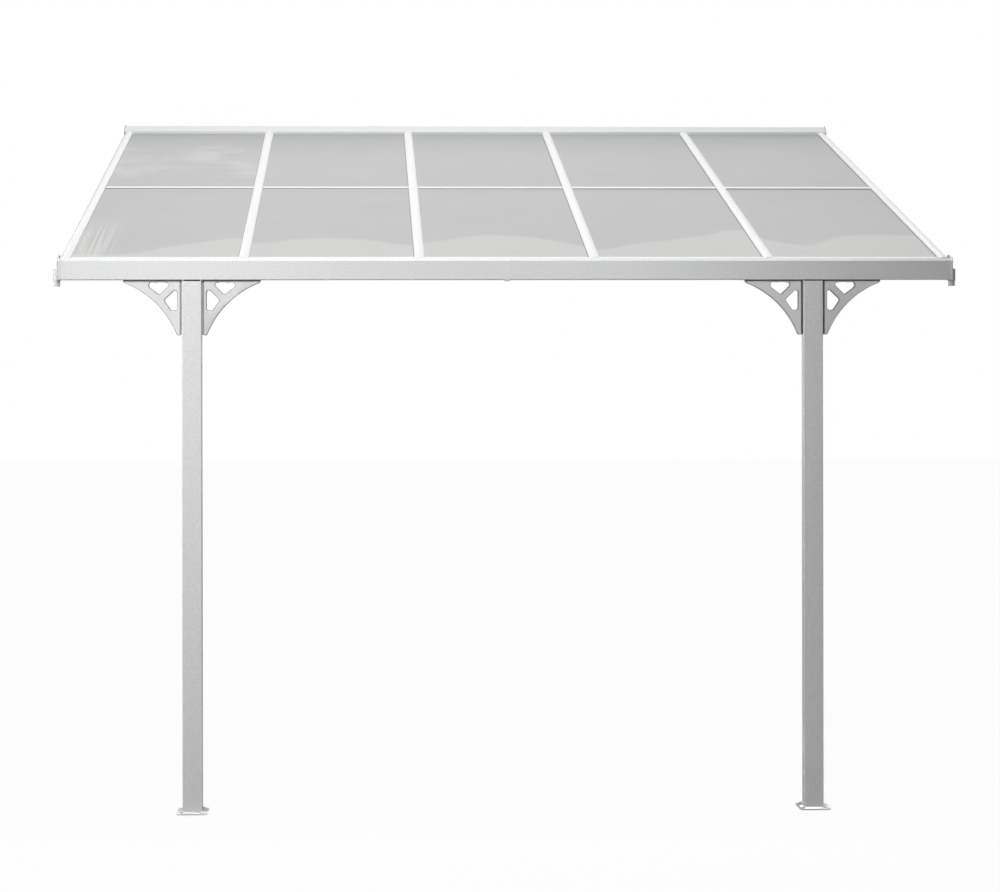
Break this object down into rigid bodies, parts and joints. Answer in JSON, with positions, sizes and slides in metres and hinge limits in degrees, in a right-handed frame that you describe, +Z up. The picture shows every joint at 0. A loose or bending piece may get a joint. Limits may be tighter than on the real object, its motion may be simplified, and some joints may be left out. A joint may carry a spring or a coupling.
{
  "type": "lean-to patio cover",
  "caption": "Wall-mounted lean-to patio cover: sloping translucent sheets between white rafters, a wall rail behind, a gutter in front and two bracketed posts.",
  "frame": {"origin": "middle of the wall rail's flat back face, on the wall, 2.535 m above the ground", "axes": "+X along the wall to the right seen from in front, +Y into the wall, +Z up; the roof reaches out along -Y"},
  "size_m": [3.149, 2.977, 2.593],
  "materials": {
    "white_profile": "satin powder coat",
    "roof_sheet": "translucent twin-wall sheet",
    "white_plastic": "moulded",
    "grey_plastic": "moulded",
    "mill_aluminium": "mill",
    "foot_steel": "powder-coated steel"
  },
  "bodies": {
    "root": {"bracket_left_inner": "white_plastic", "bracket_left_outer": "white_plastic", "bracket_right_inner": "white_plastic", "bracket_right_outer": "white_plastic", "end_profiles": "white_profile", "foot_left": "foot_steel", "foot_right": "foot_steel", "gutter_cap_left": "white_plastic", "gutter_cap_right": "white_plastic", "gutter_joiner": "white_plastic", "gutter_left": "white_profile", "gutter_right": "white_profile", "mid_joints": "white_profile", "post_head_left": "grey_plastic", "post_head_right": "grey_plastic", "post_left": "white_profile", "post_right": "white_profile", "rafter_1": "white_profile", "rafter_1_cap": "white_profile", "rafter_2": "white_profile", "rafter_2_cap": "white_profile", "rafter_3": "white_profile", "rafter_3_cap": "white_profile", "rafter_4": "white_profile", "rafter_4_cap": "white_profile", "rafter_left": "white_profile", "rafter_left_cap": "white_profile", "rafter_right": "white_profile", "rafter_right_cap": "white_profile", "roof_sheet_back_1": "roof_sheet", "roof_sheet_back_2": "roof_sheet", "roof_sheet_back_3": "roof_sheet", "roof_sheet_back_4": "roof_sheet", "roof_sheet_back_5": "roof_sheet", "roof_sheet_front_1": "roof_sheet", "roof_sheet_front_2": "roof_sheet", "roof_sheet_front_3": "roof_sheet", "roof_sheet_front_4": "roof_sheet", "roof_sheet_front_5": "roof_sheet", "wall_rail_cap_left": "white_plastic", "wall_rail_cap_right": "white_plastic", "wall_rail_key": "mill_aluminium", "wall_rail_left": "white_profile", "wall_rail_right": "white_profile"}
  },
  "joints": []
}
